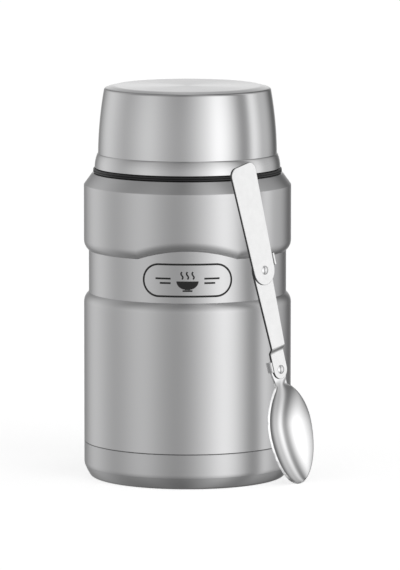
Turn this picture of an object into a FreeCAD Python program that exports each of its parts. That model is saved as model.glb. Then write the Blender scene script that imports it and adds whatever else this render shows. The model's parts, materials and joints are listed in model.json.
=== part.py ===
import FreeCAD, Part
import math
import os

import Sketcher

# Insulated food jar with a serving bowl over its stopper and a folding spoon that
# leans on its side. Millimetres, +Z up, origin at the centre of the jar's base.
# The front of the jar, with the arch over its belt, faces -Y.

DRIVING_SIZES = {
    # flask, outside
    "body_radius": 51.0,
    "steel_wall": 0.6,
    "base_curve_inset": 3.2,
    "base_curve_height": 7.5,
    "base_curve_radius": 10.4,
    "base_cap_height": 17.4,
    "seam_gap": 0.25,
    "lower_bead_start": 86.4,
    "bead_depth": 2.4,
    "bead_height": 5.0,
    "belt_height": 20.9,
    "band_height": 27.2,
    "shoulder_slope_height": 5.8,
    "shoulder_slope_inset": 4.2,
    "arch_half_width": 25.2,
    "arch_rise": 4.4,
    # flask, inside
    "vacuum_gap": 6.0,
    "flask_wall": 0.5,
    "flask_floor_gap": 4.0,
    "flask_corner": 9.0,
    "flask_neck_depth": 20.5,
    "flask_shoulder_height": 14.0,
    "neck_inset": 12.0,
    "neck_height": 16.2,
    "lip_width": 2.3,
    "vacuum_base_height": 6.0,
    "vacuum_base_flange": 5.0,
    "evacuation_hole_radius": 1.5,
    "evacuation_dimple_radius": 5.0,
    "evacuation_dimple_depth": 1.0,
    "getter_radius": 7.0,
    "getter_hole_radius": 3.2,
    "getter_thickness": 1.0,
    "foil_thickness": 0.12,
    "foil_margin": 4.0,
    # stopper
    "gasket_thickness": 1.3,
    "gasket_clearance": 0.3,
    "gasket_lip": 0.3,
    "stopper_neck_clearance": 0.8,
    "stopper_wall": 2.0,
    "stopper_skirt_gap": 0.7,
    "stopper_deck_headroom": 9.35,
    "stopper_deck_inset": 1.9,
    "stopper_grip_drop": 0.5,
    "stopper_top_corner": 1.6,
    "grip_flute_radius": 1.6,
    "grip_flute_depth": 0.7,
    "grip_flute_count": 40,
    "recess_end_margin": 4.9,
    "recess_width": 37.0,
    "recess_wall": 1.6,
    "plug_clearance": 0.65,
    "plug_wall": 1.4,
    "plug_depth": 35.5,
    "plug_corner": 6.0,
    "plug_top_gap": 0.1,
    "foam_gap": 0.4,
    # serving bowl and the ring that it seats on
    "thread_clearance": 0.4,
    "seat_ring_width": 4.2,
    "seat_ring_height": 2.3,
    "seat_ring_corner": 0.7,
    "seat_ring_gap": 0.1,
    "bowl_seat_gap": 0.25,
    "bowl_rim_width": 3.5,
    "bowl_waist_inset": 1.4,
    "bowl_rim_height": 6.8,
    "bowl_rim_curve": 18.0,
    "bowl_step_inset": 0.15,
    "bowl_step_height": 0.25,
    "bowl_side_draft": 3.05,
    "bowl_side_curve": 190.0,
    "bowl_top_chamfer_height": 1.3,
    "bowl_top_chamfer_width": 5.1,
    "bowl_height": 40.25,
    "bowl_wall": 0.5,
    "bowl_air_gap": 0.9,
    "bowl_top_air_gap": 1.35,
    "bowl_liner_corner": 3.6,
    "thread_ring_height": 9.0,
    # spoon
    "spoon_thickness": 1.4,
    "spoon_gap": 0.2,
    "spoon_joggle": 1.8,
    "spoon_bowl_width": 31.0,
    "spoon_bowl_tip_length": 28.0,
    "spoon_bowl_neck_length": 22.5,
    "spoon_bowl_depth": 7.5,
    "spoon_bowl_wall": 1.2,
    "spoon_neck_length": 8.0,
    "spoon_neck_half_width": 3.6,
    "spoon_tang_radius": 5.2,
    "spoon_mid_length": 50.6,
    "spoon_mid_lower_radius": 4.7,
    "spoon_mid_upper_radius": 6.3,
    "joggle_start": 8.0,
    "joggle_run": 4.5,
    "spoon_handle_length": 53.0,
    "spoon_handle_lower_radius": 7.3,
    "spoon_handle_upper_half_width": 8.8,
    "spoon_handle_corner": 4.2,
    "stop_tab_length": 6.0,
    "stop_tab_width": 1.3,
    "stop_tab_gap": 0.35,
    "rivet_radius": 1.2,
    "rivet_head_radius": 2.2,
    "rivet_head_height": 0.7,
    "rivet_fit": 0.05,
    # where the spoon leans
    "spoon_turn": 47.0,
    "spoon_lean": 5.2,
    "spoon_roll": 12.0,
    "spoon_side_offset": 5.3,
    "spoon_jar_gap": 0.3,
}

# how deep the arch's cut goes, the root curve of the spoon's neck and how far the neck
# runs into the bowl, as shares of the body's radius, the neck and the throat
ARCH_CUT_SHARE = 0.25
NECK_CURVE_SHARE = 1.2
NECK_REACH_SHARE = 1 / 3

doc = FreeCAD.newDocument("insulated_food_jar")
sheet = doc.addObject("Spreadsheet::Sheet", "Sizes")
for row, (alias, number) in enumerate(DRIVING_SIZES.items(), start=1):
    sheet.set("A%d" % row, alias)
    sheet.set("B%d" % row, str(number))
    sheet.setAlias("B%d" % row, alias)
doc.recompute()


class Size:
    """A size with its number and the sheet expression that gives it."""

    def __init__(self, value, text):
        self.value = float(value)
        self.text = text

    def __add__(self, other):
        other = as_size(other)
        return Size(self.value + other.value, "(%s + %s)" % (self.text, other.text))

    def __sub__(self, other):
        other = as_size(other)
        return Size(self.value - other.value, "(%s - %s)" % (self.text, other.text))

    def __mul__(self, other):
        other = as_size(other)
        return Size(self.value * other.value, "(%s * %s)" % (self.text, other.text))

    def __truediv__(self, other):
        other = as_size(other)
        return Size(self.value / other.value, "(%s / %s)" % (self.text, other.text))

    def __radd__(self, other):
        return as_size(other) + self

    def __rsub__(self, other):
        return as_size(other) - self

    def __rmul__(self, other):
        return as_size(other) * self

    def __neg__(self):
        return as_size(0) - self


def as_size(number):
    """A Size as it is, or a plain number as a Size."""
    if isinstance(number, Size):
        return number
    return Size(number, repr(float(number)))


def size(alias):
    """The sheet's size of that alias."""
    return Size(DRIVING_SIZES[alias], "Sizes.%s" % alias)


ZERO = as_size(0)


def new_body(label):
    """An empty body whose label names its piece."""
    body = doc.addObject("PartDesign::Body", label)
    body.Label = label
    return body


def origin_plane(body, role):
    """One of the body's own origin planes, such as XZ_Plane."""
    for feature in body.Origin.OriginFeatures:
        if feature.Role == role:
            return feature
    raise ValueError("no plane " + role)


def arc_centre(start, end, radius, turn):
    """Centre of the arc from start to end; turn 1 runs anticlockwise, -1 clockwise."""
    middle_x = (start[0] + end[0]) / 2
    middle_y = (start[1] + end[1]) / 2
    run_x = end[0] - start[0]
    run_y = end[1] - start[1]
    chord = math.hypot(run_x, run_y)
    rise = math.sqrt(max(radius**2 - (chord / 2) ** 2, 0))
    return (middle_x - turn * rise * run_y / chord, middle_y + turn * rise * run_x / chord)


def new_sketch(body, role, name, outline, offset=None):
    """A closed outline on an origin plane, each corner tied to the sheet.

    A corner is (x, y), or (x, y, radius, turn) where an arc of that radius leads on to
    the next corner. The arc turns anticlockwise for turn 1 and clockwise for turn -1.
    """
    sketch = body.newObject("Sketcher::SketchObject", name)
    sketch.AttachmentSupport = (origin_plane(body, role), [""])
    sketch.MapMode = "FlatFace"
    if offset is not None:
        sketch.setExpression("AttachmentOffset.Base.z", offset.text)
    corners = [(as_size(corner[0]), as_size(corner[1])) for corner in outline]
    starts = []
    ends = []
    radii = []
    for index, corner in enumerate(outline):
        start = (corners[index][0].value, corners[index][1].value)
        follower = corners[(index + 1) % len(corners)]
        end = (follower[0].value, follower[1].value)
        if len(corner) == 2:
            line = Part.LineSegment(FreeCAD.Vector(*start, 0), FreeCAD.Vector(*end, 0))
            geometry = sketch.addGeometry(line)
            starts.append((geometry, 1))
            ends.append((geometry, 2))
            continue
        radius = as_size(corner[2])
        turn = corner[3]
        centre = arc_centre(start, end, radius.value, turn)
        first, last = (start, end) if turn > 0 else (end, start)
        circle = Part.Circle(FreeCAD.Vector(*centre, 0), FreeCAD.Vector(0, 0, 1), radius.value)
        first_angle = math.atan2(first[1] - centre[1], first[0] - centre[0])
        last_angle = math.atan2(last[1] - centre[1], last[0] - centre[0])
        if last_angle <= first_angle:
            last_angle += 2 * math.pi
        geometry = sketch.addGeometry(Part.ArcOfCircle(circle, first_angle, last_angle))
        starts.append((geometry, 1 if turn > 0 else 2))
        ends.append((geometry, 2 if turn > 0 else 1))
        radii.append((geometry, radius))
    for index in range(len(outline)):
        follower = (index + 1) % len(outline)
        sketch.addConstraint(Sketcher.Constraint("Coincident", *ends[index], *starts[follower]))
    for geometry, radius in radii:
        bind(sketch, Sketcher.Constraint("Radius", geometry, radius.value), radius)
    for index, (across, along) in enumerate(corners):
        bind(sketch, Sketcher.Constraint("DistanceX", *starts[index], across.value), across)
        bind(sketch, Sketcher.Constraint("DistanceY", *starts[index], along.value), along)
    return sketch


def bind(sketch, constraint, length):
    """Add a constraint whose value follows the sheet."""
    index = sketch.addConstraint(constraint)
    sketch.setExpression("Constraints[%d]" % index, length.text)


def revolve(body, name, outline):
    """Turn an outline of (radius, height) corners about the jar's axis."""
    sketch = new_sketch(body, "XZ_Plane", name + "_outline", outline)
    feature = body.newObject("PartDesign::Revolution", name)
    feature.Profile = sketch
    feature.ReferenceAxis = (sketch, ["V_Axis"])
    feature.Angle = 360
    return feature


def pad(body, name, sketch, length, midplane=False, reverse=False):
    """Raise a sketch into a solid of that length."""
    feature = body.newObject("PartDesign::Pad", name)
    feature.Profile = sketch
    feature.setExpression("Length", length.text)
    feature.Midplane = midplane
    feature.Reversed = reverse
    return feature


def pocket(body, name, sketch, length, reverse=False):
    """Cut a sketch into the body to that depth."""
    feature = body.newObject("PartDesign::Pocket", name)
    feature.Profile = sketch
    feature.setExpression("Length", length.text)
    feature.Reversed = reverse
    return feature


def cylinder(name, radius, height, low=ZERO):
    """A plain round tool or core on the Z axis."""
    solid = doc.addObject("Part::Cylinder", name)
    solid.setExpression("Radius", radius.text)
    solid.setExpression("Height", height.text)
    solid.setExpression("Placement.Base.z", low.text)
    return solid


def combine(kind, label, base, tool):
    """A cut, fuse or common of two objects."""
    result = doc.addObject("Part::" + kind, label)
    result.Label = label
    result.Base = base
    result.Tool = tool
    return result


def fuse_all(label, shapes):
    """One solid of several touching ones."""
    result = doc.addObject("Part::MultiFuse", label)
    result.Label = label
    result.Shapes = shapes
    result.Refine = True
    return result


body_radius = size("body_radius")
steel_wall = size("steel_wall")
bead_depth = size("bead_depth")
bead_height = size("bead_height")
bead_radius = (bead_height * bead_height + bead_depth * bead_depth) / (bead_depth * 2)
belt_radius = body_radius - bead_depth
lower_bead = size("lower_bead_start")
belt_bottom = lower_bead + bead_height
belt_top = belt_bottom + size("belt_height")
band_bottom = belt_top + bead_height
shoulder_edge = band_bottom + size("band_height")
shoulder_top = shoulder_edge + size("shoulder_slope_height")
shoulder_radius = body_radius - size("shoulder_slope_inset")
arch_half = size("arch_half_width")
arch_rise = size("arch_rise")
arch_radius = (arch_half * arch_half + arch_rise * arch_rise) / (arch_rise * 2)
neck_radius = body_radius - size("neck_inset")
mouth_radius = neck_radius - size("lip_width")
lip_height = shoulder_top + size("neck_height")
flask_wall = size("flask_wall")
flask_radius = body_radius - size("vacuum_gap")


def outer_form(label, inset):
    """The flask's outer form as a solid, drawn in by inset, with the arch over its belt."""
    body = new_body(label)
    low = size("base_curve_height")
    wall_radius = body_radius - inset
    waist_radius = belt_radius - inset
    sleeve_radius = body_radius - steel_wall - inset
    sleeve_top = size("base_cap_height") + size("seam_gap") + inset
    outline = [
        (ZERO, low),
        (sleeve_radius, low),
        (sleeve_radius, sleeve_top),
        (wall_radius, sleeve_top),
        (wall_radius, lower_bead, bead_radius, 1),
        (waist_radius, belt_bottom),
        (waist_radius, belt_top, bead_radius, 1),
        (wall_radius, band_bottom),
        (wall_radius, shoulder_edge - inset / 2),
        (shoulder_radius - inset / 2, shoulder_top - inset),
        (neck_radius - inset, shoulder_top - inset),
        (neck_radius - inset, lip_height - flask_wall),
        (ZERO, lip_height - flask_wall),
    ]
    revolve(body, label + "_turned", outline)
    half_width = arch_half + inset
    arch_low = band_bottom + inset
    arch = [
        (-half_width, belt_top),
        (half_width, belt_top),
        (half_width, arch_low, arch_radius + inset, 1),
        (-half_width, arch_low),
    ]
    arch_plane = body_radius + bead_depth
    arch_depth = bead_depth + body_radius * ARCH_CUT_SHARE
    arch_sketch = new_sketch(body, "XZ_Plane", label + "_arch_outline", arch, arch_plane)
    pocket(body, label + "_arch", arch_sketch, arch_depth)
    core_top = arch_low + arch_rise + bead_depth
    core = [
        (ZERO, belt_bottom),
        (waist_radius, belt_bottom),
        (waist_radius, core_top),
        (ZERO, core_top),
    ]
    revolve(body, label + "_belt_core", core)
    return body


# flask

outer_body = outer_form("outer_form", ZERO)
hollow_body = outer_form("hollow_form", steel_wall)
shell_blank = combine("Cut", "shell_blank", outer_body, hollow_body)
shell_bore = cylinder("shell_bore", neck_radius - steel_wall, lip_height)
outer_shell = combine("Cut", "outer_shell", shell_blank, shell_bore)

base_cap = new_body("base_cap")
foot_radius = body_radius - size("base_curve_inset")
curve_height = size("base_curve_height")
curve_radius = size("base_curve_radius")
revolve(base_cap, "base_cap_turned", [
    (ZERO, ZERO),
    (foot_radius, ZERO, curve_radius, 1),
    (body_radius, curve_height),
    (body_radius, size("base_cap_height")),
    (body_radius - steel_wall, size("base_cap_height")),
    (body_radius - steel_wall, curve_height, curve_radius - steel_wall, -1),
    (foot_radius, steel_wall),
    (ZERO, steel_wall),
])

vacuum_base = new_body("vacuum_base")
plate_low = size("vacuum_base_height")
plate_radius = body_radius - steel_wall * 2
dimple_radius = size("evacuation_dimple_radius")
dimple_depth = size("evacuation_dimple_depth")
hole_radius = size("evacuation_hole_radius")
revolve(vacuum_base, "vacuum_base_turned", [
    (hole_radius, plate_low + dimple_depth),
    (dimple_radius - dimple_depth, plate_low + dimple_depth),
    (dimple_radius, plate_low),
    (plate_radius, plate_low),
    (plate_radius, plate_low + size("vacuum_base_flange")),
    (plate_radius - steel_wall, plate_low + size("vacuum_base_flange")),
    (plate_radius - steel_wall, plate_low + steel_wall),
    (dimple_radius + steel_wall, plate_low + steel_wall),
    (dimple_radius + steel_wall - dimple_depth, plate_low + steel_wall + dimple_depth),
    (hole_radius, plate_low + steel_wall + dimple_depth),
])

seal_plug = new_body("seal_plug")
revolve(seal_plug, "seal_plug_turned", [
    (ZERO, plate_low + steel_wall),
    (hole_radius * 2, plate_low + steel_wall),
    (hole_radius * 2, plate_low + dimple_depth),
    (hole_radius, plate_low + dimple_depth),
    (hole_radius, plate_low + dimple_depth + steel_wall),
    (ZERO, plate_low + dimple_depth + steel_wall),
])

inner_flask = new_body("inner_flask")
flask_floor = plate_low + size("flask_floor_gap")
flask_corner = size("flask_corner")
flask_neck = lip_height - size("flask_neck_depth")
flask_shoulder = flask_neck - size("flask_shoulder_height")
bore_radius = flask_radius - flask_wall
revolve(inner_flask, "inner_flask_turned", [
    (ZERO, flask_floor - flask_wall),
    (flask_radius - flask_corner, flask_floor - flask_wall, flask_corner, 1),
    (flask_radius, flask_floor - flask_wall + flask_corner),
    (flask_radius, flask_shoulder),
    (mouth_radius + flask_wall, flask_neck),
    (mouth_radius + flask_wall, lip_height - flask_wall),
    (neck_radius, lip_height - flask_wall),
    (neck_radius, lip_height),
    (mouth_radius, lip_height),
    (mouth_radius, flask_neck - flask_wall / 2),
    (bore_radius, flask_shoulder - flask_wall / 2),
    (bore_radius, flask_floor - flask_wall + flask_corner, flask_corner - flask_wall, -1),
    (flask_radius - flask_corner, flask_floor),
    (ZERO, flask_floor),
])

getter = new_body("getter")
getter_low = plate_low + steel_wall + dimple_depth
getter_radius = size("getter_radius")
getter_hole = size("getter_hole_radius")
getter_thickness = size("getter_thickness")
getter_bend = (dimple_radius + steel_wall - dimple_depth - getter_hole) / 2
revolve(getter, "getter_turned", [
    (getter_hole, getter_low),
    (getter_hole + getter_bend, getter_low),
    (getter_radius, getter_low + getter_thickness / 2),
    (getter_radius, getter_low + getter_thickness),
    (getter_hole, getter_low + getter_thickness),
])

foil_wrap = new_body("foil_wrap")
foil_margin = size("foil_margin")
foil_low = flask_floor - flask_wall + flask_corner + foil_margin
revolve(foil_wrap, "foil_wrap_turned", [
    (flask_radius, foil_low),
    (flask_radius + size("foil_thickness"), foil_low),
    (flask_radius + size("foil_thickness"), flask_shoulder - foil_margin),
    (flask_radius, flask_shoulder - foil_margin),
])

# stopper

gasket_thickness = size("gasket_thickness")
plug_radius = mouth_radius - size("plug_clearance")
gasket_inner = plug_radius + size("gasket_clearance")
gasket_outer = neck_radius - flask_wall
gasket_lip = size("gasket_lip")
gasket_top = lip_height + gasket_thickness
stopper_gasket = new_body("stopper_gasket")
revolve(stopper_gasket, "stopper_gasket_turned", [
    (gasket_inner, lip_height),
    (gasket_outer - gasket_lip, lip_height),
    (gasket_outer, lip_height + gasket_thickness / 2),
    (gasket_outer - gasket_lip, gasket_top),
    (gasket_inner, gasket_top),
])

ring_low = shoulder_top + size("seat_ring_gap")
ring_top = ring_low + size("seat_ring_height")
bowl_bottom = ring_top + size("bowl_seat_gap")
bowl_top = bowl_bottom + size("bowl_height")
bowl_wall = size("bowl_wall")
liner_top = bowl_top - bowl_wall - size("bowl_top_air_gap")
stopper_wall = size("stopper_wall")
stopper_radius = neck_radius + size("stopper_neck_clearance") + stopper_wall
skirt_bottom = ring_top + size("stopper_skirt_gap")
deck_height = liner_top - bowl_wall - size("stopper_deck_headroom")
deck_radius = stopper_radius - size("stopper_deck_inset")
grip_bottom = lip_height - size("stopper_grip_drop")
top_corner = size("stopper_top_corner")
deck_low = deck_height - stopper_wall
plug_wall = size("plug_wall")
plug_top = gasket_top + size("plug_top_gap")
recess_wall = size("recess_wall")
recess_floor = plug_top + recess_wall
recess_depth = deck_height - recess_floor

stopper_shell = new_body("stopper_shell")
revolve(stopper_shell, "stopper_shell_turned", [
    (stopper_radius - stopper_wall, skirt_bottom),
    (stopper_radius, skirt_bottom),
    (stopper_radius, grip_bottom),
    (deck_radius, deck_height - top_corner, top_corner, 1),
    (deck_radius - top_corner, deck_height),
    (ZERO, deck_height),
    (ZERO, deck_low),
    (deck_radius - stopper_wall, deck_low),
    (stopper_radius - stopper_wall, grip_bottom + stopper_wall + gasket_thickness),
])


def stadium(half_length, half_width):
    """A slot outline with round ends, as long as the X axis allows."""
    straight = half_length - half_width
    return [
        (-straight, -half_width),
        (straight, -half_width, half_width, 1),
        (half_length, ZERO, half_width, 1),
        (straight, half_width),
        (-straight, half_width, half_width, 1),
        (-half_length, ZERO, half_width, 1),
    ]


recess_half_length = deck_radius - size("recess_end_margin")
recess_half_width = size("recess_width") / 2
tub_outline = stadium(recess_half_length + recess_wall, recess_half_width + recess_wall)
tub_sketch = new_sketch(stopper_shell, "XY_Plane", "recess_tub_outline", tub_outline, deck_low)
pad(stopper_shell, "recess_tub", tub_sketch, deck_low - plug_top, reverse=True)
recess_outline = stadium(recess_half_length, recess_half_width)
recess_sketch = new_sketch(stopper_shell, "XY_Plane", "recess_outline", recess_outline, deck_height)
pocket(stopper_shell, "spoon_recess", recess_sketch, recess_depth)
flute_radius = size("grip_flute_radius")
flute_centre = stopper_radius + flute_radius - size("grip_flute_depth")
flute_outline = [
    (flute_centre, -flute_radius, flute_radius, 1),
    (flute_centre + flute_radius, ZERO, flute_radius, 1),
    (flute_centre, flute_radius, flute_radius, 1),
    (flute_centre - flute_radius, ZERO, flute_radius, 1),
]
flute_sketch = new_sketch(stopper_shell, "XY_Plane", "grip_flute_outline", flute_outline, deck_height)
flute = pocket(stopper_shell, "grip_flute", flute_sketch, deck_height - grip_bottom)
grip = stopper_shell.newObject("PartDesign::PolarPattern", "grip_flutes")
grip.Originals = [flute]
grip.Axis = (flute_sketch, ["N_Axis"])
grip.Angle = 360
grip.setExpression("Occurrences", size("grip_flute_count").text)
stopper_shell.Tip = grip

stopper_plug = new_body("stopper_plug")
plug_bottom = lip_height - size("plug_depth")
plug_corner = size("plug_corner")
plug_inner = plug_radius - plug_wall
revolve(stopper_plug, "stopper_plug_turned", [
    (ZERO, plug_bottom),
    (plug_radius - plug_corner, plug_bottom, plug_corner, 1),
    (plug_radius, plug_bottom + plug_corner),
    (plug_radius, plug_top),
    (plug_inner, plug_top),
    (plug_inner, plug_bottom + plug_corner),
    (plug_radius - plug_corner, plug_bottom + plug_wall),
    (ZERO, plug_bottom + plug_wall),
])

stopper_foam = new_body("stopper_foam")
foam_radius = plug_inner - size("foam_gap")
foam_low = plug_bottom + plug_wall
foam_corner = plug_corner - plug_wall
revolve(stopper_foam, "stopper_foam_turned", [
    (ZERO, foam_low),
    (foam_radius - foam_corner, foam_low),
    (foam_radius, foam_low + foam_corner),
    (foam_radius, plug_top),
    (ZERO, plug_top),
])

# serving bowl

ring_inner = stopper_radius + size("thread_clearance")
ring_radius = ring_inner + size("seat_ring_width")
ring_corner = size("seat_ring_corner")
lid_seat_ring = new_body("lid_seat_ring")
revolve(lid_seat_ring, "lid_seat_ring_turned", [
    (ring_inner, ring_low),
    (ring_radius - ring_corner, ring_low),
    (ring_radius, ring_low + ring_corner),
    (ring_radius, ring_top - ring_corner),
    (ring_radius - ring_corner, ring_top),
    (ring_inner, ring_top),
])

rim_radius = ring_inner + size("bowl_rim_width")
rim_waist = rim_radius - size("bowl_waist_inset")
rim_top = bowl_bottom + size("bowl_rim_height")
rim_curve = size("bowl_rim_curve")
step_radius = rim_waist - size("bowl_step_inset")
step_height = size("bowl_step_height")
side_curve = size("bowl_side_curve")
top_radius = step_radius - size("bowl_side_draft")
chamfer_low = bowl_top - size("bowl_top_chamfer_height")
top_flat = top_radius - size("bowl_top_chamfer_width")

bowl_shell = new_body("bowl_shell")
revolve(bowl_shell, "bowl_shell_turned", [
    (rim_radius - bowl_wall, bowl_bottom),
    (rim_radius, bowl_bottom, rim_curve, 1),
    (rim_waist, rim_top),
    (step_radius, rim_top + step_height, side_curve, 1),
    (top_radius, chamfer_low),
    (top_flat, bowl_top),
    (ZERO, bowl_top),
    (ZERO, bowl_top - bowl_wall),
    (top_flat - bowl_wall / 2, bowl_top - bowl_wall),
    (top_radius - bowl_wall, chamfer_low - bowl_wall / 4, side_curve - bowl_wall, -1),
    (step_radius - bowl_wall, rim_top + step_height),
    (rim_waist - bowl_wall, rim_top - step_height / 2, rim_curve - bowl_wall, -1),
])

ring_step = rim_top - step_height * 2
bowl_thread_ring = new_body("bowl_thread_ring")
thread_ring_top = bowl_bottom + size("thread_ring_height")
air_gap = size("bowl_air_gap")
liner_radius = step_radius - bowl_wall - air_gap / 2
revolve(bowl_thread_ring, "bowl_thread_ring_turned", [
    (ring_inner, bowl_bottom),
    (rim_waist - bowl_wall, bowl_bottom),
    (rim_waist - bowl_wall, ring_step),
    (liner_radius, ring_step + step_height * 2),
    (liner_radius, thread_ring_top),
    (ring_inner, thread_ring_top),
])

bowl_liner = new_body("bowl_liner")
liner_top_radius = top_radius - bowl_wall - air_gap
liner_corner = size("bowl_liner_corner")
revolve(bowl_liner, "bowl_liner_turned", [
    (liner_radius - bowl_wall, thread_ring_top),
    (liner_radius, thread_ring_top),
    (liner_top_radius, liner_top - liner_corner, liner_corner, 1),
    (liner_top_radius - liner_corner, liner_top),
    (ZERO, liner_top),
    (ZERO, liner_top - bowl_wall),
    (liner_top_radius - liner_corner, liner_top - bowl_wall, liner_corner - bowl_wall, -1),
    (liner_top_radius - bowl_wall, liner_top - liner_corner),
])

# spoon: X is across it, Y runs up its handle, Z is out of its hollow side, and the
# origin is on the lower rivet's axis, in the plane of the bowl's rim

sheet_metal = size("spoon_thickness")
spoon_gap = size("spoon_gap")
joggle = size("spoon_joggle")
bowl_half_width = size("spoon_bowl_width") / 2
tip_length = size("spoon_bowl_tip_length")
throat_length = size("spoon_bowl_neck_length")
hollow_depth = size("spoon_bowl_depth")
spoon_wall = size("spoon_bowl_wall")
neck_length = size("spoon_neck_length")
neck_half = size("spoon_neck_half_width")
tang_radius = size("spoon_tang_radius")
mid_length = size("spoon_mid_length")
mid_lower = size("spoon_mid_lower_radius")
mid_upper = size("spoon_mid_upper_radius")
handle_length = size("spoon_handle_length")
handle_lower = size("spoon_handle_lower_radius")
handle_upper = size("spoon_handle_upper_half_width")
handle_corner = size("spoon_handle_corner")
tab_length = size("stop_tab_length")
tab_width = size("stop_tab_width")
tab_gap = size("stop_tab_gap")
rivet_radius = size("rivet_radius")
rivet_fit = size("rivet_fit")
mid_back = spoon_gap
mid_front = spoon_gap + sheet_metal
upper_back = mid_back + joggle
upper_front = upper_back + sheet_metal
handle_back = upper_front + spoon_gap
handle_front = handle_back + sheet_metal
bowl_centre = -(neck_length + throat_length)


def half_ellipsoid(name, length, inset, towards_tip, whole):
    """Half of a spoon bowl's form, on the tip's or the neck's side of its widest line."""
    solid = doc.addObject("Part::Ellipsoid", name)
    solid.setExpression("Radius1", (hollow_depth - inset).text)
    solid.setExpression("Radius2", (bowl_half_width - inset).text)
    solid.setExpression("Radius3", (length - inset).text)
    solid.Angle1 = -90
    solid.Angle2 = 90 if whole else 0
    solid.Angle3 = 180
    turn = FreeCAD.Rotation(FreeCAD.Vector(0, 0, 1), 180 if towards_tip else 0)
    solid.Placement = FreeCAD.Placement(FreeCAD.Vector(0, 0, 0), turn)
    solid.setExpression("Placement.Base.y", bowl_centre.text)
    return solid


def plate(label, outline, back, thickness):
    """A flat piece of the spoon's sheet metal, from its back face forwards."""
    body = new_body(label)
    sketch = new_sketch(body, "XY_Plane", label + "_outline", outline, back)
    pad(body, label + "_pad", sketch, thickness)
    return body


def upright_cylinder(name, radius, height, along, low):
    """A round tool or shaft square to the spoon's face."""
    solid = cylinder(name, radius, height, low)
    solid.setExpression("Placement.Base.y", along.text)
    return solid


head_tip = half_ellipsoid("head_tip", tip_length, ZERO, True, False)
head_throat = half_ellipsoid("head_throat", throat_length, ZERO, False, False)
tang_end = neck_length + throat_length * NECK_REACH_SHARE
tang_curve = neck_length * NECK_CURVE_SHARE
tang = plate("tang", [
    (-neck_half * 2, -tang_end),
    (neck_half * 2, -tang_end, tang_curve, -1),
    (neck_half, -tang_radius),
    (tang_radius, ZERO, tang_radius, 1),
    (ZERO, tang_radius),
    (-(mid_lower + tab_gap + tab_width), tang_radius),
    (-(mid_lower + tab_gap + tab_width), ZERO),
    (-neck_half, -tang_radius, tang_curve, -1),
], -sheet_metal, sheet_metal)
tang_tab = plate("tang_tab", [
    (-(mid_lower + tab_gap + tab_width), ZERO),
    (-(mid_lower + tab_gap), ZERO),
    (-(mid_lower + tab_gap), tang_radius),
    (-(mid_lower + tab_gap + tab_width), tang_radius),
], ZERO, mid_front)
head_blank = fuse_all("head_blank", [head_tip, head_throat, tang, tang_tab])
hollow_tip = half_ellipsoid("hollow_tip", tip_length, spoon_wall, True, True)
hollow_throat = half_ellipsoid("hollow_throat", throat_length, spoon_wall, False, True)
hollow = fuse_all("head_hollow", [hollow_tip, hollow_throat])
head_open = combine("Cut", "head_open", head_blank, hollow)
lower_hole = upright_cylinder("lower_hole", rivet_radius, sheet_metal * 4, ZERO, -sheet_metal * 2)
spoon_head = combine("Cut", "spoon_head", head_open, lower_hole)

joggle_start = size("joggle_start")
joggle_end = joggle_start + size("joggle_run")
mid_side = new_body("mid_side")
mid_side_outline = [
    (-mid_lower, mid_back),
    (joggle_start, mid_back),
    (joggle_end, upper_back),
    (mid_length + mid_upper + tab_length, upper_back),
    (mid_length + mid_upper + tab_length, upper_front),
    (joggle_end, upper_front),
    (joggle_start, mid_front),
    (-mid_lower, mid_front),
]
mid_side_sketch = new_sketch(mid_side, "YZ_Plane", "mid_side_outline", mid_side_outline)
pad(mid_side, "mid_side_pad", mid_side_sketch, handle_upper * 4, midplane=True)
tab_low = mid_length + tab_gap
tab_high = tab_low + tab_length
tab_inner = handle_lower + (handle_upper - handle_lower) * (tab_length / handle_length) + tab_gap
tab_outer = tab_inner + tab_width
mid_outline = plate("mid_outline", [
    (-mid_lower, ZERO, mid_lower, 1),
    (ZERO, -mid_lower, mid_lower, 1),
    (mid_lower, ZERO),
    (mid_lower, joggle_end),
    (mid_upper, mid_length),
    (tab_outer, tab_low),
    (tab_outer, tab_high),
    (mid_upper, tab_high),
    (ZERO, mid_length + mid_upper, mid_upper, 1),
    (-mid_upper, mid_length),
    (-mid_lower, joggle_end),
], ZERO, handle_front)
mid_strip = combine("Common", "mid_strip", mid_side, mid_outline)
mid_tab = plate("mid_tab", [
    (tab_inner, tab_low),
    (tab_outer, tab_low),
    (tab_outer, tab_high),
    (tab_inner, tab_high),
], upper_back, handle_front - upper_back)
mid_blank = fuse_all("mid_blank", [mid_strip, mid_tab])
mid_lower_hole = upright_cylinder(
    "mid_lower_hole", rivet_radius + rivet_fit, handle_front * 2, ZERO, -sheet_metal)
mid_upper_hole = upright_cylinder(
    "mid_upper_hole", rivet_radius, handle_front * 2, mid_length, -sheet_metal)
mid_drilled = combine("Cut", "mid_drilled", mid_blank, mid_lower_hole)
spoon_mid_link = combine("Cut", "spoon_mid_link", mid_drilled, mid_upper_hole)

handle_top = mid_length + handle_length
handle_blank = plate("handle_blank", [
    (-handle_lower, mid_length, handle_lower, 1),
    (ZERO, mid_length - handle_lower, handle_lower, 1),
    (handle_lower, mid_length),
    (handle_upper, handle_top - handle_corner, handle_corner, 1),
    (handle_upper - handle_corner, handle_top),
    (handle_corner - handle_upper, handle_top, handle_corner, 1),
    (-handle_upper, handle_top - handle_corner),
], handle_back, sheet_metal)
handle_hole = upright_cylinder(
    "handle_hole", rivet_radius + rivet_fit, handle_front * 2, mid_length, -sheet_metal)
spoon_handle = combine("Cut", "spoon_handle", handle_blank, handle_hole)


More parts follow.
